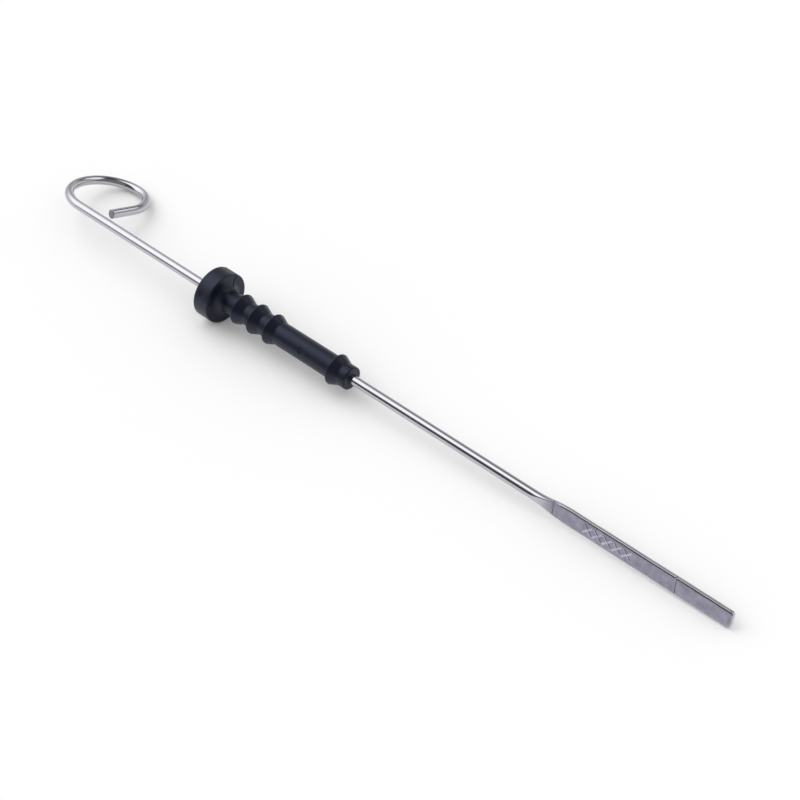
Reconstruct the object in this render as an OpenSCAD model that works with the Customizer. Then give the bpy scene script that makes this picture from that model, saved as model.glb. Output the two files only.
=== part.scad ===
// Engine oil dipstick: a bent wire handle, a barbed stopper and a pressed blade.
// It is shown lying on level ground, on the stopper's cap, the loop and the tip.

/* [Wire] */
// Diameter of the round steel wire
wire_d = 4; // [3:0.1:5]
// Length from the start of the handle bend to the tip of the blade
reach = 338; // [280:1:500]

/* [Handle loop] */
// Radius of the first half turn, to the middle of the wire
loop_r = 17; // [14:0.5:22]
// Radius of the closing bend, to the middle of the wire
closing_r = 13.5; // [9:0.5:15]
// Angle of the closing bend, past the half turn
closing_turn = 97; // [70:1:110]
// Gap left between the cut end and the shank
end_gap = 5.3; // [2:0.1:8]
// Small chamfer round the cut end
cut_chamfer = 0.25; // [0.1:0.05:0.5]

/* [Stopper cap] */
// Length from the start of the handle bend to the cap
cap_from_bend = 81.2; // [50:0.1:110]
// Diameter of the cap
cap_d = 21.8; // [18:0.1:30]
// Thickness of the cap
cap_t = 7.6; // [4:0.1:10]
// Rounding of the cap's rim
cap_edge_r = 0.5; // [0.3:0.1:1.5]
// Radius of the flare from the neck to the cap
flare_r = 3.2; // [1:0.1:4]

/* [Stopper barbs] */
// Diameter of the neck and of the core between the barbs
core_d = 9.6; // [7:0.1:10.5]
// Diameter over the barbs, which grip the guide tube
barb_d = 13; // [12:0.1:16]
// Number of barbs below the cap
barb_count = 3; // [1:1:5]
// Length from the cap to the crest of the first barb
first_barb = 9.4; // [6:0.1:14]
// Length from one crest to the next
barb_pitch = 8.85; // [7:0.05:12]
// Width of the flat land on a crest
land_w = 0.3; // [0.2:0.1:1.5]
// Rounding on both sides of the land
crest_r = 0.3; // [0.2:0.05:0.9]
// Slope of the ramp behind a crest, from the axis
ramp_angle = 23; // [18:1:40]
// Fillet at the foot of a barb's square shoulder
foot_r = 0.5; // [0.2:0.1:0.8]

/* [Stopper sleeve] */
// Diameter of the plain sleeve and of the nose
sleeve_d = 9.8; // [8:0.1:10.8]
// Length from the last of the barbs to the end barb, crest to crest
sleeve_len = 34.5; // [20:0.5:60]
// Length of the nose past the end barb's crest
nose_len = 8.1; // [6:0.1:15]
// Rounding of the nose's end
nose_edge_r = 0.6; // [0.3:0.1:1.2]
// Clearance of the moulded bore round the wire
grip_gap = 0.05; // [0.02:0.01:0.1]
// Diameter of the two round witness marks of the mould's pins
witness_d = 3; // [2:0.1:4]
// Depth of a witness mark at its middle
witness_depth = 0.3; // [0.2:0.05:0.5]
// Turn of the witness marks round the axis, from the blade's face
witness_turn = 17; // [0:1:45]
// Length from the last barb to the sleeve's witness mark
witness_from_barb = 19.2; // [12:0.1:24]

/* [Blade] */
// Length of the flat blade
blade_len = 79; // [60:1:120]
// Width of the blade
blade_w = 6.8; // [5.6:0.1:8]
// Thickness of the blade
blade_t = 1.9; // [1.4:0.1:2.4]
// Length of the ramps between the round wire and the blade's faces
ramp_len = 9.5; // [6:0.5:20]
// Length before the blade where the wire starts to spread
spread_len = 9; // [4:0.5:14]
// Length of blade over which it goes on spreading to its full width
spread_past = 8; // [2:0.5:12]
// Corner radius at the tip
tip_r = 1.3; // [0.5:0.1:2]

/* [Level marks] */
// Length from the tip to the low level line
low_line = 24; // [12:0.5:30]
// Width of a level line
line_w = 0.9; // [0.5:0.1:1.5]
// Depth of a level line
line_depth = 0.3; // [0.15:0.05:0.5]
// Turn of a level line from square across the blade
line_slant = 7; // [0:1:20]
// Length from the tip to the near end of the raised hatching
hatch_from_tip = 43; // [36:0.5:48]
// Number of crosses in the hatching
hatch_count = 5; // [1:1:6]
// Length of one cross along the blade
hatch_pitch = 4.4; // [3:0.1:5]
// Length of the hatching across the blade
hatch_w = 3.9; // [2:0.1:4.5]
// Width of a raised bar
bar_w = 0.6; // [0.3:0.05:0.8]
// Height of a raised bar above the blade
bar_rise = 0.2; // [0.1:0.05:0.4]

/* [Hidden] */

steel = [0.76, 0.77, 0.80];
black_rubber = [0.13, 0.14, 0.17];
$fn = 64;

wire_r = wire_d / 2;
stub_len = (2 * loop_r - closing_r * (1 - cos(closing_turn)) - wire_r - end_gap) / sin(closing_turn);

cap_r = cap_d / 2;
core_r = core_d / 2;
barb_r = barb_d / 2;
sleeve_r = sleeve_d / 2;
bore_r = wire_r + grip_gap;
cap_front = cap_from_bend + cap_t;
barb_first_at = cap_t + first_barb;
barb_last_at = barb_first_at + (barb_count - 1) * barb_pitch;
barb_end_at = barb_last_at + sleeve_len;
stopper_len = barb_end_at + nose_len;

blade_r = blade_w / 2;
blade_x = reach - blade_len;
spread_x = blade_x - spread_len;
spread_span = spread_len + spread_past;
spread_end = spread_x + spread_span;
spread_h = blade_r - wire_r;
spread_bend = (spread_span * spread_span + spread_h * spread_h) / (4 * spread_h);
flat_half_w = sqrt(blade_r * blade_r - blade_t * blade_t / 4);
edge_angle = asin(blade_t / blade_w);
low_line_x = reach - low_line;
hatch_x = reach - hatch_from_tip;

// Depth to which a raised bar is rooted in the blade
bar_root = 0.4;
// Length by which a cutter stands out past what it cuts
spare = 1;

// The lying position is found from three touching points: the cap's front rim, the tip's
// lower corner and the far side of the loop. The direction that points down is written as
// [share along the wire, share across to the loop], and each pass brings it closer.
rest_passes = 12;

function upright(down) = sqrt(1 - down.x * down.x - down.y * down.y);
function across(down) = norm([down.y, upright(down)]);
function cap_drop(down) = across(down) * (cap_r - cap_edge_r) + cap_edge_r;
function tip_drop(down) = atan2(down.y, upright(down)) < edge_angle
    ? across(down) * blade_r
    : down.y * blade_t / 2 + upright(down) * flat_half_w;
function ground_depth(down) = down.x * (cap_front - cap_edge_r) + cap_drop(down);
function closer(down) = [
    (cap_drop(down) - tip_drop(down)) / (reach - tip_r - cap_front + cap_edge_r),
    (ground_depth(down) - wire_r - closing_r * (norm(down) - down.y)) / (2 * loop_r)];
function settled(down, passes) = passes == 0 ? down : settled(closer(down), passes - 1);

down = settled([0, 0], rest_passes);
lean = asin(down.x);
tilt = asin(down.y / cos(lean));
far_x = (reach - tip_r) * cos(lean) + (blade_r - tip_r) * sin(lean) + tip_r;
near_x = -loop_r * sin(lean) * sin(tilt) - loop_r * norm([cos(lean), sin(lean) * sin(tilt)]) - wire_r;
far_y = 2 * loop_r * cos(tilt) + wire_r;
middle_x = (far_x + near_x) / 2;
middle_y = (far_y - cap_r) / 2;

// Lays what is drawn along +X, with the loop towards +Y, down on the ground
module lying() {
    translate([-middle_x, -middle_y, ground_depth(down)])
        rotate([-tilt, lean, 0]) children();
}

// Turns what is drawn up the Z axis to lie along the wire
module along_wire() {
    rotate([0, 90, 0]) children();
}

// Half section of the wire and its spread end before pressing, from the axis out.
// The outline grows from the wire to the blade in an S of two equal arcs.
module turned_section() {
    square([wire_r, spread_x]);
    difference() {
        translate([0, spread_x]) square([wire_r + spread_h / 2, spread_span / 2]);
        translate([wire_r + spread_bend, spread_x]) circle(spread_bend);
    }
    intersection() {
        translate([0, spread_x + spread_span / 2]) square([blade_r, spread_span / 2]);
        translate([blade_r - spread_bend, spread_end]) circle(spread_bend);
    }
    translate([0, spread_end]) square([blade_r, reach - tip_r - spread_end]);
    translate([0, spread_end]) square([blade_r - tip_r, reach - spread_end]);
    translate([blade_r - tip_r, reach - tip_r]) circle(tip_r);
}

// What one die presses away: a ramp down from the wire, then the blade's flat face
module die() {
    slope = (wire_r - blade_t / 2) / ramp_len;
    ramp_x = blade_x - ramp_len;
    translate([0, 0, -blade_w])
        linear_extrude(2 * blade_w)
            polygon([[ramp_x - spare, wire_r + slope * spare], [blade_x, blade_t / 2],
                     [reach + spare, blade_t / 2], [reach + spare, blade_w], [ramp_x - spare, blade_w]]);
}

// Groove with a V section across the face of the blade
module level_line(x) {
    translate([x, -blade_t / 2, 0]) rotate([0, -line_slant, 0])
        translate([0, 0, -blade_w / 2 - spare])
            linear_extrude(blade_w + 2 * spare)
                polygon([[-line_w / 2, 0], [-line_w / 2, -spare], [line_w / 2, -spare], [line_w / 2, 0],
                         [0, line_depth]]);
}

// Raised crosses on the face of the blade
module hatching() {
    slant = atan2(hatch_w, hatch_pitch);
    bar_len = norm([hatch_w, hatch_pitch]) - bar_w;
    for (i = [0:hatch_count - 1], turn = [slant, -slant])
        translate([hatch_x - (i + 0.5) * hatch_pitch, (bar_root - bar_rise - blade_t) / 2, 0])
            rotate([0, turn, 0])
                cube([bar_len, bar_root + bar_rise, bar_w], center = true);
}

// Half turn, closing bend and cut end, in the plane of X and Y
module loop_handle() {
    translate([0, loop_r, 0])
        rotate_extrude(angle = 180, start = 90) translate([loop_r, 0]) circle(wire_r);
    translate([0, 2 * loop_r - closing_r, 0]) {
        rotate_extrude(angle = closing_turn, start = 90 - closing_turn)
            translate([closing_r, 0]) circle(wire_r);
        rotate([0, 0, 90 - closing_turn])
            translate([closing_r, 0, 0]) rotate([90, 0, 0]) cut_end();
    }
}

module cut_end() {
    cylinder(h = stub_len - cut_chamfer, r = wire_r);
    translate([0, 0, stub_len - cut_chamfer])
        cylinder(h = cut_chamfer, r1 = wire_r, r2 = wire_r - cut_chamfer);
}

module gauge_rod() {
    color(steel) lying() {
        difference() {
            union() {
                loop_handle();
                along_wire() rotate_extrude() turned_section();
            }
            die();
            mirror([0, 1, 0]) die();
            level_line(blade_x);
            level_line(low_line_x);
        }
        hatching();
    }
}

// Half section of a disc from the axis out to a radius, with both outer edges rounded
module rounded_disc(from, to, radius, edge) {
    translate([0, from]) square([radius - edge, to - from]);
    translate([0, from + edge]) square([radius, to - from - 2 * edge]);
    for (at = [from + edge, to - edge])
        translate([radius - edge, at]) circle(edge);
}

// Concave fillet that fills the corner between a cylinder and a face above or below it
module fillet(radius, at, size, facing) {
    translate([radius, at]) mirror([0, facing < 0 ? 1 : 0]) difference() {
        square(size);
        translate([size, size]) circle(size);
    }
}

// Half section of one barb: square shoulder towards the cap, long ramp towards the nose
module barb(at, foot_radius) {
    shoulder = at - land_w / 2 - crest_r;
    ramp_top = [barb_r - crest_r * (1 - cos(ramp_angle)), at + land_w / 2 + crest_r * sin(ramp_angle)];
    ramp_foot = ramp_top.y + (ramp_top.x - core_r) / tan(ramp_angle);
    rounded_disc(shoulder, at + land_w / 2 + crest_r, barb_r, crest_r);
    polygon([[0, at], [barb_r - crest_r, at + land_w / 2], ramp_top, [core_r, ramp_foot], [0, ramp_foot]]);
    fillet(foot_radius, shoulder, foot_r, -1);
}

module stopper_section() {
    difference() {
        union() {
            rounded_disc(0, cap_t, cap_r, cap_edge_r);
            fillet(core_r, cap_t, flare_r, 1);
            square([core_r, barb_last_at]);
            for (i = [0:barb_count - 1]) barb(barb_first_at + i * barb_pitch, core_r);
            translate([0, barb_last_at]) square([sleeve_r, sleeve_len]);
            barb(barb_end_at, sleeve_r);
            rounded_disc(barb_end_at, stopper_len, sleeve_r, nose_edge_r);
        }
        translate([0, -spare]) square([bore_r, stopper_len + 2 * spare]);
    }
}

// Cutter for a shallow round mark on a cylinder of a given radius round the wire
module witness_mark(at, radius) {
    translate([at, 0, 0]) rotate([90 - witness_turn, 0, 0])
        translate([0, 0, radius - witness_depth]) cylinder(h = witness_depth + spare, d = witness_d);
}

module stopper() {
    color(black_rubber) lying() translate([cap_from_bend, 0, 0]) difference() {
        along_wire() rotate_extrude() stopper_section();
        witness_mark(cap_t / 2, cap_r);
        witness_mark(barb_last_at + witness_from_barb, sleeve_r);
    }
}

gauge_rod();
stopper();
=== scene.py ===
import math

import bpy
import numpy as np
from mathutils import Matrix, Vector


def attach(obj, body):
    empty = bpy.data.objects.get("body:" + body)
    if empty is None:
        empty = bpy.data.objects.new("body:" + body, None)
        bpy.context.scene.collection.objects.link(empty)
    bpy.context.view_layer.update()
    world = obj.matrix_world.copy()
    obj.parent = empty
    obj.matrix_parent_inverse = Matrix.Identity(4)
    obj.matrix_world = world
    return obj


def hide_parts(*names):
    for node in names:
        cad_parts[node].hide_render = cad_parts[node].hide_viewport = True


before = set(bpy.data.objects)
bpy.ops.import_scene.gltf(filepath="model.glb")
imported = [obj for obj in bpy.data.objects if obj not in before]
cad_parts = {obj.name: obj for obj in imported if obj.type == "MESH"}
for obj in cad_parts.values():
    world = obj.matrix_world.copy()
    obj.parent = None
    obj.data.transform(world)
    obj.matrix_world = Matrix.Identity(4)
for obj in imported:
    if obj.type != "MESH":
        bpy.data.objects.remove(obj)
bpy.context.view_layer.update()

mm = 0.001
print("oil dipstick: frame loaded")

# What a user would change. All lengths are in millimetres and all angles in degrees.
wireSizes = {
    "radius": 2.0,
    "reach": 338.0,  # start of the handle bend to the blade's tip
    "loopRadius": 17.0,  # half turn, to the middle of the wire
    "closingRadius": 13.5,
    "closingTurn": 97.0,
    "endGap": 5.3,  # cut end to shank
    "cutChamfer": 0.25,
    "stubRings": 8,
    "bendStep": 0.9,  # spacing of the rings round the bends
    "shankRings": 24,
}

bladeSizes = {
    "length": 79.0,
    "width": 6.8,
    "thickness": 1.9,
    "rampLength": 9.5,
    "spreadLength": 9.0,  # before the blade's start
    "spreadPast": 8.0,
    "tipRadius": 1.3,
    "rampPower": 30.0,  # higher is crisper where face and edge meet
    "frontPower": 7.0,
    "backPower": 14.0,
    "cornerChange": (-1.0, 3.0),  # from the ramps' corners to the blade's, past its start
    "rampSoftness": 0.05,
    "edgeWave": 0.07,  # how far the rolled edges wander inwards
    "waveFade": 6.0,
    "endRounding": 0.18,
    "lineWidth": 0.9,
    "lineDepth": 0.3,
    "lineSoftness": 0.06,  # as a share of half the width
    "lineSlant": 7.0,
    "lowLine": 24.0,
    "hatchFromTip": 43.0,
    "hatchCount": 5,
    "hatchPitch": 4.4,
    "hatchWidth": 3.9,
    "barWidth": 0.6,
    "barRise": 0.2,
    "barSoftness": 0.2,
    "denseLength": 15.0,  # how far before the blade the close rings begin
    "rampStep": 0.4,
    "lineRings": 44,  # across one level line
    "hatchStep": 0.13,
    "plainRings": (16, 20, 24),  # line to crosses, crosses to line, line to tip
    "tipRings": 14,
    "faceColumns": 30,  # on half a face
    "edgeColumns": 7,  # on half an edge
    "columnLead": 5.0,  # the columns gather this far before the ramps
}

stopperSizes = {
    "capAt": 81.2,
    "capRadius": 10.9,
    "capThickness": 7.6,
    "capRounding": 0.5,
    "flareRadius": 3.2,
    "coreRadius": 4.8,
    "barbRadius": 6.5,
    "barbCount": 3,
    "firstBarb": 9.4,
    "barbPitch": 8.85,
    "landWidth": 0.3,
    "crestRounding": 0.3,
    "rampAngle": 23.0,
    "rampEase": (0.12, 0.1),  # cuts the corner at the ramp's foot, before and past it
    "footRounding": 0.5,
    "sleeveRadius": 4.9,
    "sleeveLength": 34.5,
    "noseLength": 8.1,
    "noseRounding": 0.6,
    "boreGap": 0.05,
    "boreRounding": 0.12,
    "boreRings": 6,
    "pointStep": 0.45,  # longest spacing along the outline
    "columns": 130,
    "markDiameter": 3.0,
    "markDepth": 0.2,
    "markTurn": 17.0,
    "markFromBarb": 19.2,
    "markSoftness": 0.2,
    "markRings": 31,
    "markColumns": 57,
    "markSpread": 21.0,  # the columns on either side of a mark's middle
    "seamTurn": 110.0,  # parting line of the mould across the cap
    "seamDepth": 0.2,
    "seamWidth": 0.7,
    "seamReach": 12.0,
    "seamFade": 3.0,
    "seamColumns": 21,
    "seamSpread": 5.0,
}


# How the part lies. It touches the ground with the cap's front rim, the tip's lower corner and
# the loop's far side. The shares of straight down that point along the wire and across to the
# loop are found in twelve passes, each of which puts the three touching points on one level.
def lyingPose(wire, blade, stopper):
    rim = stopper["capRounding"]
    capFront = stopper["capAt"] + stopper["capThickness"] - rim
    edge, face = blade["width"] / 2, blade["thickness"] / 2
    tip = blade["tipRadius"]
    along, across = 0.0, 0.0
    for step in range(12):
        upright = math.sqrt(1 - along ** 2 - across ** 2)
        sideways = math.hypot(across, upright)
        capDrop = sideways * (stopper["capRadius"] - rim) + rim
        if math.atan2(across, upright) < math.asin(face / edge):
            tipDrop = sideways * edge
        else:
            tipDrop = across * face + upright * math.sqrt(edge ** 2 - face ** 2)
        height = along * capFront + capDrop
        farSide = wire["radius"] + wire["closingRadius"] * (math.hypot(along, across) - across)
        along, across = ((capDrop - tipDrop) / (wire["reach"] - tip - capFront),
                         (height - farSide) / (2 * wire["loopRadius"]))
    lean = math.asin(along)
    tilt = math.asin(across / math.cos(lean))
    turn = np.array(Matrix.Rotation(lean, 3, "Y") @ Matrix.Rotation(-tilt, 3, "X"))
    farX = (wire["reach"] - tip) * math.cos(lean) + (edge - tip) * math.sin(lean) + tip
    nearX = (-wire["loopRadius"] * (math.sin(lean) * math.sin(tilt)
             + math.hypot(math.cos(lean), math.sin(lean) * math.sin(tilt))) - wire["radius"])
    farY = 2 * wire["loopRadius"] * math.cos(tilt) + wire["radius"]
    height = along * capFront + capDrop
    return turn, np.array([-(farX + nearX) / 2, -(farY - stopper["capRadius"]) / 2, height])


turn, shift = lyingPose(wireSizes, bladeSizes, stopperSizes)


def laid(points):
    return (points @ turn.T + shift) * mm


# A smooth step from 0 to 1 while t goes from 0 to 1: t * t * (3 - 2 * t)
def smooth(t):
    t = np.clip(t, 0, 1)
    return t * t * (3 - 2 * t)


# A closed skin over a grid of points: row i and column j become point i * columns + j, columns
# always join round, and rows join round too or are closed by one pole point at either end.
# straight holds each point's place on the unbent wire, and marks is 1 on raised bars and -1 at
# the bottom of grooves. Both become attributes for the material.
def skin(name, grid, ring=False, straight=None, marks=None):
    rows, columns = grid.shape[:2]
    across = np.arange(columns)
    nextAcross = (across + 1) % columns
    first = np.arange(rows if ring else rows - 1)[:, None] * columns
    second = (first + columns) % (rows * columns)
    quads = np.stack([first + across, first + nextAcross, second + nextAcross, second + across], -1)
    quads = quads.reshape(-1, 4)
    points = grid.reshape(-1, 3)
    triangles = np.zeros((0, 3), int)
    if not ring:
        points = np.vstack([points, grid[0].mean(0), grid[-1].mean(0)])
        start, end = rows * columns, rows * columns + 1
        last = (rows - 1) * columns
        triangles = np.vstack([
            np.stack([nextAcross, across, np.full(columns, start)], -1),
            np.stack([last + across, last + nextAcross, np.full(columns, end)], -1)])
    a, b, c, d = (points[quads[:, k]] for k in range(4))
    volume = np.einsum("ij,ij->", a, np.cross(b, c)) + np.einsum("ij,ij->", a, np.cross(c, d))
    if volume < 0:
        quads, triangles = quads[:, ::-1], triangles[:, ::-1]
    corners = np.concatenate([quads.ravel(), triangles.ravel()])
    sizes = np.concatenate([np.full(len(quads), 4), np.full(len(triangles), 3)])
    mesh = bpy.data.meshes.new(name)
    mesh.vertices.add(len(points))
    mesh.vertices.foreach_set("co", points.astype(np.float32).ravel())
    mesh.loops.add(len(corners))
    mesh.loops.foreach_set("vertex_index", corners.astype(np.int32))
    mesh.polygons.add(len(sizes))
    mesh.polygons.foreach_set("loop_start", (np.cumsum(sizes) - sizes).astype(np.int32))
    mesh.polygons.foreach_set("use_smooth", np.ones(len(sizes), bool))
    if straight is not None:
        values = straight.reshape(-1, 3)
        values = np.vstack([values, straight[0].mean(0), straight[-1].mean(0)])
        place = mesh.attributes.new("straightened", "FLOAT_VECTOR", "POINT")
        place.data.foreach_set("vector", values.astype(np.float32).ravel())
    if marks is not None:
        height = mesh.attributes.new("marks", "FLOAT", "POINT")
        height.data.foreach_set("value", np.append(marks.ravel(), [0, 0]).astype(np.float32))
    mesh.update(calc_edges=True)
    mesh.validate()
    piece = bpy.data.objects.new(name, mesh)
    bpy.context.scene.collection.objects.link(piece)
    return piece


# Centre line of the wire, by distance x from the start of the bend (negative round the handle):
# straight, half turn by angle a, closing bend by angle b, then straight to the cut end.
# Returns the middle and the direction out of the loop, which turns by a + b.
def wirePath(x, wire):
    a = np.clip(-x / wire["loopRadius"], 0, math.pi)
    closing = math.radians(wire["closingTurn"])
    b = np.clip((-x - math.pi * wire["loopRadius"]) / wire["closingRadius"], 0, closing)
    rest = np.maximum(-x - math.pi * wire["loopRadius"] - closing * wire["closingRadius"], 0)
    middle = np.stack([
        np.maximum(x, 0) - wire["loopRadius"] * np.sin(a) + wire["closingRadius"] * np.sin(b)
        + rest * math.cos(closing),
        wire["loopRadius"] * (1 - np.cos(a)) - wire["closingRadius"] * (1 - np.cos(b))
        - rest * math.sin(closing),
        np.zeros_like(x)], -1)
    outward = np.stack([-np.sin(a + b), -np.cos(a + b), np.zeros_like(x)], -1)
    return middle, outward


# Length of the straight stub, from the end gap that it leaves
def stubLength(wire):
    closing = math.radians(wire["closingTurn"])
    return (2 * wire["loopRadius"] - wire["closingRadius"] * (1 - math.cos(closing))
            - wire["radius"] - wire["endGap"]) / math.sin(closing)


# The distances x of the cut end and of the end of the bends
def cutPlace(wire):
    closing = math.radians(wire["closingTurn"])
    loopLength = math.pi * wire["loopRadius"] + closing * wire["closingRadius"]
    return -(loopLength + stubLength(wire)), -loopLength


# Radius of the turned outline at x: the wire, an S of two equal arcs up to the blade's half
# width, the blade with a slow wave along its edges, and a quarter circle round the tip's corner.
# The wave is 0.5 + 0.3 * sin(0.21 * x + 1) + 0.2 * sin(0.55 * x) times the edge wave deep.
def turnedRadius(x, wire, blade):
    bladeStart = wire["reach"] - blade["length"]
    rise = blade["width"] / 2 - wire["radius"]
    length = blade["spreadLength"] + blade["spreadPast"]
    spreadEnd = bladeStart + blade["spreadPast"]
    bend = (length ** 2 + rise ** 2) / (4 * rise)
    first = np.clip(x - spreadEnd + length, 0, length / 2)
    second = np.clip(spreadEnd - x, 0, length / 2)
    low = wire["radius"] + bend - np.sqrt(bend ** 2 - first ** 2)
    high = blade["width"] / 2 - bend + np.sqrt(bend ** 2 - second ** 2)
    radius = np.where(x < spreadEnd - length / 2, low, high)
    wave = 0.5 + 0.3 * np.sin(0.21 * x + 1.0) + 0.2 * np.sin(0.55 * x)
    radius = radius - blade["edgeWave"] * wave * np.clip((x - spreadEnd) / blade["waveFade"], 0, 1)
    over = np.clip(x - wire["reach"] + blade["tipRadius"], 0, blade["tipRadius"])
    return radius - blade["tipRadius"] + np.sqrt(blade["tipRadius"] ** 2 - over ** 2)


# Half the gap between the dies at x: a ramp that meets the flat part in a soft bend,
# flat + soft * log(1 + exp(slope * (start - x) / soft)).
def dieGap(x, wire, blade):
    bladeStart = wire["reach"] - blade["length"]
    slope = (wire["radius"] - blade["thickness"] / 2) / blade["rampLength"]
    soft = blade["rampSoftness"]
    return blade["thickness"] / 2 + soft * np.logaddexp(0, slope * (bladeStart - x) / soft)


# Depth of the two level lines at (x, z). Each is a slanted V with soft shoulders,
# depth * soft * log(1 + exp((1 - away) / soft)), where away is 1 at the V's edge. Past an away
# of 1.6 nothing of it is left.
def levelLines(x, z, wire, blade):
    depth = np.zeros_like(z)
    slant = math.radians(blade["lineSlant"])
    soft = blade["lineSoftness"]
    for at in (wire["reach"] - blade["length"], wire["reach"] - blade["lowLine"]):
        away = np.abs((x - at) * math.cos(slant) + z * math.sin(slant)) / (blade["lineWidth"] / 2)
        depth += blade["lineDepth"] * soft * np.logaddexp(0, (1 - away) / soft) * (away < 1.6)
    return np.minimum(depth, blade["lineDepth"])


# Height of the raised crosses at (x, z): each bar is a flat ridge as far as its width reaches
# from the bar's middle line, with flanks in a smooth step.
def raisedCrosses(x, z, wire, blade):
    height = np.zeros(np.broadcast(x, z).shape)
    slant = math.atan2(blade["hatchWidth"], blade["hatchPitch"])
    halfBar = (math.hypot(blade["hatchWidth"], blade["hatchPitch"]) - 2 * blade["barWidth"]) / 2
    for number in range(blade["hatchCount"]):
        middle = wire["reach"] - blade["hatchFromTip"] - (number + 0.5) * blade["hatchPitch"]
        for side in (1, -1):
            along = (x - middle) * math.cos(slant) + side * z * math.sin(slant)
            off = -side * (x - middle) * math.sin(slant) + z * math.cos(slant)
            away = np.hypot(np.maximum(np.abs(along) - halfBar, 0), off)
            step = smooth((blade["barWidth"] / 2 - away) / blade["barSoftness"] + 0.5)
            height = np.maximum(height, blade["barRise"] * step)
    return height


# The distances x of the rings. They lie close together at the chamfer's edges, on the ramps,
# across the level lines and on the crosses.
def gaugeRings(wire, blade):
    bladeStart = wire["reach"] - blade["length"]
    cutAt, loopAt = cutPlace(wire)
    chamfer = wire["cutChamfer"]
    hatchFar = wire["reach"] - blade["hatchFromTip"]
    hatchNear = hatchFar - blade["hatchCount"] * blade["hatchPitch"]
    lowAt = wire["reach"] - blade["lowLine"]
    tipAt = wire["reach"] - blade["tipRadius"]
    line = blade["lineWidth"] + blade["width"] / 2 * math.tan(math.radians(blade["lineSlant"]))
    quarter = np.linspace(0, math.pi / 2, blade["tipRings"])
    denseAt = bladeStart - blade["denseLength"]
    toCrosses, toLine, toTip = blade["plainRings"]
    return np.concatenate([
        cutAt + np.array([0, 0.02, chamfer - 0.03, chamfer, chamfer + 0.03, 0.6, 1.5]),
        np.linspace(cutAt + 3, loopAt, wire["stubRings"]),
        np.arange(loopAt + wire["bendStep"], 0, wire["bendStep"]),
        np.linspace(0, denseAt - 1, wire["shankRings"]),
        np.arange(denseAt, bladeStart - line, blade["rampStep"]),
        np.linspace(bladeStart - line, bladeStart + line, blade["lineRings"]),
        np.linspace(bladeStart + line + 0.4, hatchNear - 0.4, toCrosses),
        np.arange(hatchNear - 0.2, hatchFar + 0.2, blade["hatchStep"]),
        np.linspace(hatchFar + 0.5, lowAt - line - 0.3, toLine),
        np.linspace(lowAt - line, lowAt + line, blade["lineRings"]),
        np.linspace(lowAt + line + 0.5, tipAt - 0.4, toTip),
        tipAt + blade["tipRadius"] * np.sin(quarter)])


# The angles of the columns round the blade, which run evenly over its faces and its edges
def bladeAngles(blade):
    half = blade["thickness"] / 2
    corner = math.sqrt((blade["width"] / 2) ** 2 - half ** 2)
    flat = np.arctan2(np.linspace(0, corner, blade["faceColumns"] + 1)[:-1], half)
    rim = np.linspace(math.atan2(corner, half), math.pi / 2, blade["edgeColumns"] + 1)
    part = np.concatenate([flat, rim])
    side = np.concatenate([part, math.pi - part[-2:0:-1]])
    return np.concatenate([side, side + math.pi])


# Puts rings before the first one and after the last one, which are shares of those two
def addEnds(rings, shares):
    shares = np.array(shares)[:, None]
    return np.vstack([shares * rings[:1], rings, shares[::-1] * rings[-1:]])


# The wire and its blade as one surface of two parameters, distance x along the wire and angle
# round it. The radius in a direction is the smaller of the turned outline and the die's flat,
# blended as (outline^-p + (gap / cos)^-p)^(-1/p), with a p of its own for the ramps, the front
# corners and the back corners. The angles change from even ones to the blade's.
def makeGauge(wire, blade):
    bladeStart = wire["reach"] - blade["length"]
    half = blade["thickness"] / 2
    x = gaugeRings(wire, blade)[:, None]
    pressed = bladeAngles(blade)
    even = np.linspace(0, 2 * math.pi, len(pressed), endpoint=False)
    gatherAt = bladeStart - blade["rampLength"] - blade["columnLead"]
    share = smooth((x - gatherAt) / blade["rampLength"])
    angle = (1 - share) * even + share * pressed

    radius = turnedRadius(x, wire, blade)
    gap = dieGap(x, wire, blade)
    corner = np.where(np.cos(angle) > 0, blade["frontPower"], blade["backPower"])
    begin, end = blade["cornerChange"]
    change = np.clip((x - bladeStart - begin) / (end - begin), 0, 1)
    power = blade["rampPower"] + (corner - blade["rampPower"]) * change
    spread = ((np.abs(np.cos(angle)) / gap) ** power + radius ** -power) ** (-1 / power)
    front, up = spread * np.cos(angle), spread * np.sin(angle)
    sunk = levelLines(x, up, wire, blade)
    front = np.minimum(front, gap - sunk)
    onFrontFace = (front > 0.6 * half) * (x > bladeStart)
    raised = raisedCrosses(x, up, wire, blade) * onFrontFace
    front = front + raised
    marks = raised / blade["barRise"] - sunk / blade["lineDepth"] * (front > 0)

    # the tip's end face is rounded into the faces and edges, and the cut end is chamfered
    rounding = blade["endRounding"]
    over = np.clip(x - wire["reach"] + rounding, 0, rounding)
    inset = rounding - np.sqrt(rounding ** 2 - over ** 2)
    front = front * (half - inset) / half
    up = up * (radius - inset) / radius
    chamfer = wire["cutChamfer"]
    cut = np.clip(1 - (x - cutPlace(wire)[0]) / chamfer, 0, 1) * chamfer / wire["radius"]
    front, up = front * (1 - cut), up * (1 - cut)

    # both ends are closed by rings drawn in towards the middle
    x = np.repeat(x, front.shape[1], 1)
    shares = [0.3, 0.6, 0.85, 0.97]
    front, up = addEnds(front, shares), addEnds(up, shares)
    x, marks = addEnds(x, [1] * len(shares)), addEnds(marks, [0] * len(shares))
    middle, outward = wirePath(x, wire)
    grid = middle + outward * front[..., None] + np.array([0, 0, 1]) * up[..., None]
    straight = np.stack([x, front, up], -1) * mm
    return skin("wire_and_blade", laid(grid), straight=straight, marks=marks)


# Points on a quarter or part circle, from one angle to another in degrees
def arc(centre, radius, start, stop, count=8):
    t = np.radians(np.linspace(start, stop, count))
    return np.stack([centre[0] + radius * np.cos(t), centre[1] + radius * np.sin(t)], -1)


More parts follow.
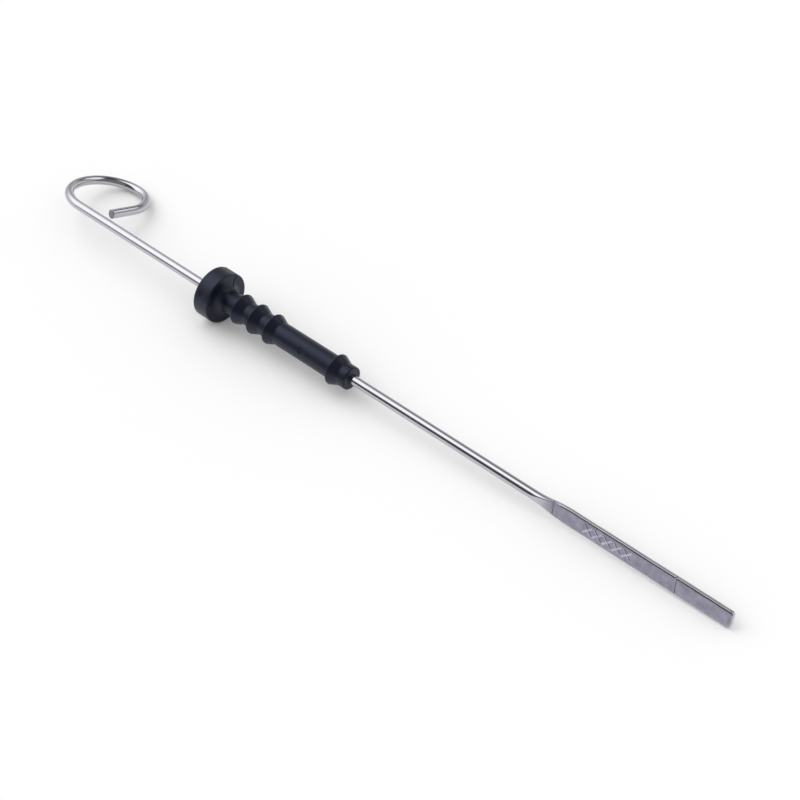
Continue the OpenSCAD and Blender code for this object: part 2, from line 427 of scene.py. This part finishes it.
# Outline of one barb, from its foot fillet over the crest and down the ramp, as (x, radius)
def barbOutline(at, foot, rampFoot, stopper):
    crest, land = stopper["crestRounding"], stopper["landWidth"] / 2
    top = stopper["barbRadius"]
    slope = stopper["rampAngle"]
    shoulder = at - land - crest
    fillet = stopper["footRounding"]
    end = arc((at + land, top - crest), crest, 90, 90 - slope, 6)
    slope = math.tan(math.radians(slope))
    rampEnd = end[-1, 0] + (end[-1, 1] - rampFoot) / slope
    before, past = stopper["rampEase"]
    return np.vstack([
        arc((shoulder - fillet, foot + fillet), fillet, -90, 0, 6),
        arc((at - land, top - crest), crest, 180, 90, 8),
        end,
        [[rampEnd - before, rampFoot + before * slope], [rampEnd + past, rampFoot]]])


# A straight stretch of the outline with close points, where a pin mark lies
def markedStretch(at, radius, stopper):
    reach = stopper["markDiameter"] / 2 + 2 * stopper["markSoftness"]
    x = at + np.linspace(-reach, reach, stopper["markRings"])
    return np.stack([x, np.full_like(x, radius)], -1)


# Depth of a round pin mark: flat inside its edge, with a wall in a smooth step
def pinMark(x, radius, angle, stopper):
    sideways = radius * np.sin(angle - math.radians(stopper["markTurn"]))
    inside = stopper["markDiameter"] / 2 - np.hypot(x, sideways)
    facing = np.cos(angle - math.radians(stopper["markTurn"])) > 0
    return stopper["markDepth"] * smooth(inside / stopper["markSoftness"] + 0.5) * facing


# Depth of the mould's parting line, depth * exp(-(distance / half width)^2), which fades out
# along x past the cap
def partingLine(x, radius, angle, stopper):
    away = radius * np.sin(angle - math.radians(stopper["seamTurn"]))
    facing = np.cos(angle - math.radians(stopper["seamTurn"])) > 0
    fade = np.clip((stopper["seamReach"] - x) / stopper["seamFade"], 0, 1)
    return stopper["seamDepth"] * np.exp(-(away / (stopper["seamWidth"] / 2)) ** 2) * facing * fade


# The stopper is its outline carried round the wire. The outline is filled in with even points,
# so that no two rings lie further apart than the step.
def makeStopper(stopper, wire):
    core, cap, sleeve = stopper["coreRadius"], stopper["capRadius"], stopper["sleeveRadius"]
    bore = wire["radius"] + stopper["boreGap"]
    thick, edge, flare = stopper["capThickness"], stopper["capRounding"], stopper["flareRadius"]
    lastBarb = thick + stopper["firstBarb"] + (stopper["barbCount"] - 1) * stopper["barbPitch"]
    endBarb = lastBarb + stopper["sleeveLength"]
    length = endBarb + stopper["noseLength"]
    nose = stopper["noseRounding"]
    soft = stopper["boreRounding"]
    mouth = np.array([[soft, bore], [soft / 4, bore + soft / 3], [0, bore + soft]])
    outline = [
        mouth,
        arc((edge, cap - edge), edge, 180, 90),
        markedStretch(thick / 2, cap, stopper),
        arc((thick - edge, cap - edge), edge, 90, 0),
        arc((thick + flare, core + flare), flare, 180, 270, 14)]
    for number in range(stopper["barbCount"]):
        at = thick + stopper["firstBarb"] + number * stopper["barbPitch"]
        isLast = number == stopper["barbCount"] - 1
        outline.append(barbOutline(at, core, sleeve if isLast else core, stopper))
    markAt = lastBarb + stopper["markFromBarb"]
    outline.append(markedStretch(markAt, sleeve, stopper))
    outline.append(barbOutline(endBarb, sleeve, sleeve, stopper))
    outline.append(arc((length - nose, sleeve - nose), nose, 90, 0))
    outline.append(np.abs([length, 0] - mouth[::-1]))
    corners = np.vstack(outline)
    following = np.roll(corners, -1, 0)
    counts = np.maximum(1, np.ceil(np.hypot(*(following - corners).T) / stopper["pointStep"]))
    counts[-1] = stopper["boreRings"]
    line = np.vstack([a + (b - a) * np.linspace(0, 1, int(n), endpoint=False)[:, None]
                      for a, b, n in zip(corners, following, counts)])
    tangent = np.roll(line, -1, 0) - np.roll(line, 1, 0)
    normal = np.stack([-tangent[:, 1], tangent[:, 0]], -1) / np.hypot(*tangent.T)[:, None]
    turns = [np.linspace(0, 360, stopper["columns"], endpoint=False)]
    for part in ("seam", "mark"):
        spread = stopper[part + "Spread"]
        closer = np.linspace(-spread, spread, stopper[part + "Columns"])
        turns.append(stopper[part + "Turn"] + closer)
    angle = np.radians(np.unique(np.concatenate(turns).round(2)))
    radius = line[:, 1:] + 0 * angle
    along = line[:, :1] + 0 * angle

    # one mark lies on the cap's rim and one on the sleeve, and nothing is sunk into the bore
    sunk = pinMark(along - thick / 2, radius, angle, stopper) * (radius > cap - 0.02)
    sunk += pinMark(along - markAt, radius, angle, stopper) * (radius > bore + 1)
    groove = partingLine(along, radius, angle, stopper) * (radius > bore + 0.5)
    radius = radius - sunk - normal[:, 1:] * groove
    along = along - normal[:, :1] * groove
    grid = np.stack([along + stopper["capAt"], -radius * np.cos(angle), radius * np.sin(angle)], -1)
    return skin("barbed_stopper", laid(grid), ring=True)


# Shader maths in plain expressions: a Signal is one output socket, and sums, differences,
# products and sizes of signals and numbers add their Math nodes. Colours go through Mix nodes.
class Signal:
    def __init__(self, tree, socket=None):
        self.tree = tree
        self.socket = socket

    def make(self, kind, settings=None, sockets=None, output=0):
        node = self.tree.nodes.new(kind)
        for name, value in (settings or {}).items():
            setattr(node, name, value)
        for name, value in (sockets or {}).items():
            if isinstance(value, Signal):
                self.tree.links.new(value.socket, node.inputs[name])
            else:
                node.inputs[name].default_value = value
        return Signal(self.tree, node.outputs[output] if node.outputs else None)

    def parts(self, *names):  # named outputs of the same node
        return [Signal(self.tree, self.socket.node.outputs[name]) for name in names]

    def math(self, operation, *values):
        return self.make("ShaderNodeMath", {"operation": operation}, dict(enumerate(values)))

    def __add__(self, other): return self.math("ADD", self, other)
    def __radd__(self, other): return self.math("ADD", other, self)
    def __sub__(self, other): return self.math("SUBTRACT", self, other)
    def __rsub__(self, other): return self.math("SUBTRACT", other, self)
    def __mul__(self, other): return self.math("MULTIPLY", self, other)
    def __rmul__(self, other): return self.math("MULTIPLY", other, self)
    def __abs__(self): return self.math("ABSOLUTE", self)
    def atLeast(self, other): return self.math("MAXIMUM", self, other)

    def step(self, low, high):  # 0 below low, 1 above high, smooth between
        return self.make("ShaderNodeMapRange", {"interpolation_type": "SMOOTHSTEP"},
                         {"Value": self, "From Min": low, "From Max": high})

    def band(self, low, full, last, high):  # rises from low to full and falls from last to high
        return self.step(low, full) * (1 - self.step(last, high))

    def between(self, low, high):  # low where this is 0, high where it is 1
        return low + self * (high - low)

    def colours(self, low, high):  # the same for colours
        return self.make("ShaderNodeMix", {"data_type": "RGBA"}, {0: self, 6: low, 7: high}, 2)

    def times(self, other):  # a colour times a colour or a value
        return self.make("ShaderNodeMix", {"data_type": "RGBA", "blend_type": "MULTIPLY"},
                         {0: 1.0, 6: self, 7: other}, 2)


def newMaterial(name):
    material = bpy.data.materials.new(name)
    material.use_nodes = True
    material.node_tree.nodes.clear()
    return material, Signal(material.node_tree)


def noise(net, where, scale, detail=3.0):
    return net.make("ShaderNodeTexNoise", {}, {"Vector": where, "Scale": scale, "Detail": detail})


def bumps(net, height, look):
    return net.make("ShaderNodeBump", {}, {
        "Height": height, "Strength": look["bumpStrength"], "Distance": look["bumpDepth"] * mm})


def addShader(net, sockets):
    shader = net.make("ShaderNodeBsdfPrincipled", {}, sockets)
    net.make("ShaderNodeOutputMaterial", {}, {"Surface": shader})


def rayKinds(net):
    return net.make("ShaderNodeLightPath").parts(
        "Is Camera Ray", "Is Glossy Ray", "Is Transmission Ray")


platedLook = {
    "bright": (0.54, 0.535, 0.575, 1),
    "dull": (0.47, 0.465, 0.505, 1),
    "faceShade": (0.63, 0.62, 0.71, 1),  # the pressed faces are duller than the wire
    "barPaintedHighlight": 1.6,  # painted highlight: the raised bars are painted lighter
    "linePaintedShade": 0.45,  # painted shade in the level lines
    "cutShade": 0.45,  # bare steel at the cut end
    "mottle": 0.8,
    "faceAlong": (-8.0, 1.0),  # the faces' look comes in here, past the blade's start
    "faceThrough": (0.86, 0.97),  # and here, as shares of half the thickness
    "cutAlong": (0.1, 0.3),  # the cut's look ends here, past the cut end
    "lineMarks": (0.1, 0.7),  # depths at which the painted shade begins and is complete
    "barMarks": (0.05, 0.3),
    "wireRoughness": 0.11,
    "faceRoughness": 0.31,
    "barRoughness": 0.18,
    "cloudRoughness": 0.06,
    "cloudScale": 60.0,  # spots in a metre, as for all these noises
    "mottleScale": 420.0,
    "grainScale": 2600.0,
    "drawnScale": (40.0, 3500.0, 3500.0),  # long streaks, as the wire was drawn
    "drawnShare": 0.4,  # of the streaks in the colour, the rest is cloud
    "drawnRelief": 0.05,
    "grainRelief": 0.17,
    "bumpStrength": 0.6,
    "bumpDepth": 0.12,
}


def platedMetal(look, wire, blade):
    material, net = newMaterial("plated_wire")
    place = net.make("ShaderNodeAttribute", {"attribute_name": "straightened"}, output="Vector")
    x, front = net.make("ShaderNodeSeparateXYZ", {}, {0: place}).parts("X", "Y")
    bladeStart = wire["reach"] - blade["length"]
    faceAlong = [(bladeStart + away) * mm for away in look["faceAlong"]]
    faceThrough = [blade["thickness"] / 2 * share * mm for share in look["faceThrough"]]
    face = x.step(*faceAlong) * abs(front).step(*faceThrough)
    cutAlong = [(cutPlace(wire)[0] + away) * mm for away in look["cutAlong"]]
    cut = 1 - x.step(*cutAlong)
    marks = net.make("ShaderNodeAttribute", {"attribute_name": "marks"}, output="Fac")
    line = (marks * -1.0).step(*look["lineMarks"])
    bar = marks.step(*look["barMarks"])

    cloud = noise(net, place, look["cloudScale"])
    mottle = noise(net, place, look["mottleScale"], 2.0)
    grain = noise(net, place, look["grainScale"], 2.0)
    streaks = net.make("ShaderNodeMapping", {}, {"Vector": place, "Scale": look["drawnScale"]})
    drawn = noise(net, streaks, 1.0, 4.0)
    share = look["drawnShare"]
    colour = (cloud * (1 - share) + drawn * share).colours(look["dull"], look["bright"])
    shade = face.colours((1, 1, 1, 1), look["faceShade"])
    # the level holds the faces' mottle, a painted highlight on the raised bars, painted shade in
    # the level lines and the darker bare steel at the cut end
    level = ((1 + face * (mottle - 0.5) * look["mottle"]) * bar.between(1, look["barPaintedHighlight"])
             * line.between(1, look["linePaintedShade"]) * cut.between(1, look["cutShade"]))
    dull = face * bar.between(1, look["barRoughness"] / look["faceRoughness"]) + cut
    relief = (drawn * (1 - face) * look["drawnRelief"]
              + (grain * look["grainRelief"] + mottle) * face)
    addShader(net, {
        "Base Color": colour.times(shade).times(level),
        "Metallic": 1.0,
        "Roughness": (dull.between(look["wireRoughness"], look["faceRoughness"])
                      + cloud * look["cloudRoughness"]),
        "Normal": bumps(net, relief, look)})
    return material


rubberLook = {
    "dark": (0.0022, 0.0029, 0.0080, 1),
    "light": (0.0042, 0.0052, 0.0125, 1),
    "sheen": (0.60, 0.66, 0.95, 1),  # tint of the reflections
    "roughness": 0.32,
    "cloudRoughness": 0.12,
    "cloudScale": 90.0,
    "grainScale": 2400.0,
    "bumpStrength": 0.15,
    "bumpDepth": 0.15,
}


def mouldedRubber(look):
    material, net = newMaterial("black_rubber")
    place = net.make("ShaderNodeTexCoord", output="Object")
    cloud = noise(net, place, look["cloudScale"])
    grain = noise(net, place, look["grainScale"], 2.0)
    addShader(net, {
        "Base Color": cloud.colours(look["dark"], look["light"]),
        "Roughness": look["roughness"] + cloud * look["cloudRoughness"],
        "Specular Tint": look["sheen"],
        "Normal": bumps(net, grain, look)})
    return material


gauge = makeGauge(wireSizes, bladeSizes)
gauge.data.materials.append(platedMetal(platedLook, wireSizes, bladeSizes))
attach(gauge, "root")
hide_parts("gauge_rod")
print("wire and blade made:", len(gauge.data.polygons), "faces")

stopper = makeStopper(stopperSizes, wireSizes)
stopper.data.materials.append(mouldedRubber(rubberLook))
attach(stopper, "root")
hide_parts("stopper")
print("stopper made:", len(stopper.data.polygons), "faces")


# The room that the metal mirrors. A turn is in degrees round the part, 0 at the back and -90 on
# the handle's side, and a height is the sine of the angle above the floor. Two numbers are where
# something begins and where it is complete, and four also say where it begins to end and ends.
studio = {
    "floorHalf": 6.0,
    "floorColour": (0.8, 0.8, 0.8, 1),
    "fill": 0.78,  # even light from all sides
    "keyStrength": 1.1,
    "keyAngle": 60.0,
    "keyFrom": (-0.75, -0.05, 0.62),
    "sideLight": 1.9,
    "sideTurns": (-147, -134, -25, -10),
    "sideFade": (-95, -20),
    "sideFaded": 0.4,  # what is left of it at the end of the fade
    "sideHeights": (0.05, 0.65),
    "sideLow": 0.38,  # what is left of it at the floor
    "flagTurns": (-55, -38),  # a dark flag in front of the side light
    "flagHeights": (0.44, 0.58, 0.84, 0.92),
    "flagged": 0.2,
    "backLight": 1.45,
    "backTurns": (-8, 10, 62, 85),
    "backHeights": (0.36, 0.55, 0.80, 0.90),
    "wallLight": 0.66,
    "wallTurns": (-60, -30, 60, 95),
    "wallTop": (0.25, 0.45),  # begins to end and ends
    "roomLight": 0.25,
    "roomTurns": (40, 120),
    "roomDark": 0.3,  # what is left of it below those turns
}


def makeFloor(studio):
    half = studio["floorHalf"]
    mesh = bpy.data.meshes.new("floor")
    corners = [(-half, -half, 0), (half, -half, 0), (half, half, 0), (-half, half, 0)]
    mesh.from_pydata(corners, [], [(0, 1, 2, 3)])
    floor = bpy.data.objects.new("floor", mesh)
    bpy.context.scene.collection.objects.link(floor)
    material, net = newMaterial("pale_floor")
    seen, mirrored, through = rayKinds(net)
    white = seen.atLeast(mirrored).atLeast(through)
    colour = white.colours(studio["floorColour"], (1, 1, 1, 1))
    addShader(net, {"Base Color": colour, "Roughness": 1.0, "Specular IOR Level": 0.0})
    mesh.materials.append(material)


def makeLight(studio):
    lamp = bpy.data.lights.new("key", "SUN")
    lamp.energy = studio["keyStrength"]
    lamp.angle = math.radians(studio["keyAngle"])
    key = bpy.data.objects.new("key", lamp)
    key.rotation_euler = Vector(studio["keyFrom"]).to_track_quat("Z", "Y").to_euler()
    key.visible_glossy = False
    bpy.context.scene.collection.objects.link(key)

    world = bpy.data.worlds.new("studio")
    bpy.context.scene.world = world
    world.use_nodes = True
    world.node_tree.nodes.clear()
    net = Signal(world.node_tree)
    direction = net.make("ShaderNodeTexCoord", output="Generated")
    x, y, z = net.make("ShaderNodeSeparateXYZ", {}, {0: direction}).parts("X", "Y", "Z")
    turn = x.math("ARCTAN2", x, y) * (180 / math.pi)
    flag = turn.step(*studio["flagTurns"]) * z.band(*studio["flagHeights"])
    side = (turn.band(*studio["sideTurns"]) * studio["sideLight"]
            * turn.step(*studio["sideFade"]).between(1, studio["sideFaded"])
            * z.step(*studio["sideHeights"]).between(studio["sideLow"], 1)
            * flag.between(1, studio["flagged"]))
    back = turn.band(*studio["backTurns"]) * z.band(*studio["backHeights"]) * studio["backLight"]
    wall = (turn.band(*studio["wallTurns"]) * (1 - z.step(*studio["wallTop"]))
            * studio["wallLight"])
    room = turn.step(*studio["roomTurns"]).between(studio["roomDark"], 1) * studio["roomLight"]
    seen, mirrored, through = rayKinds(net)
    plain = seen.atLeast(through).between(studio["fill"], 1)
    strength = mirrored.between(plain, side.atLeast(back).atLeast(wall).atLeast(room))
    background = net.make("ShaderNodeBackground", {}, {"Color": (1, 1, 1, 1), "Strength": strength})
    net.make("ShaderNodeOutputWorld", {}, {"Surface": background})


photoView = {
    "spot": (0.416408, -0.408316, 0.553399),
    "aim": (0.014891, -0.001917, 0.000147),
    "roll": -3.3639,
    "lens": 92.35,
}


def makeCamera(view):
    data = bpy.data.cameras.new("camera")
    data.sensor_width, data.lens = 36.0, view["lens"]
    data.clip_start, data.clip_end = 0.01, 50.0
    camera = bpy.data.objects.new("camera", data)
    spot, aim = Vector(view["spot"]), Vector(view["aim"])
    level = (aim - spot).to_track_quat("-Z", "Y").to_matrix().to_4x4()
    roll = Matrix.Rotation(math.radians(view["roll"]), 4, "Z")
    camera.matrix_world = Matrix.Translation(spot) @ level @ roll
    bpy.context.scene.collection.objects.link(camera)
    bpy.context.scene.camera = camera


makeFloor(studio)
makeLight(studio)
makeCamera(photoView)
bpy.context.scene.view_settings.view_transform = "Standard"
print("floor, light and camera made")
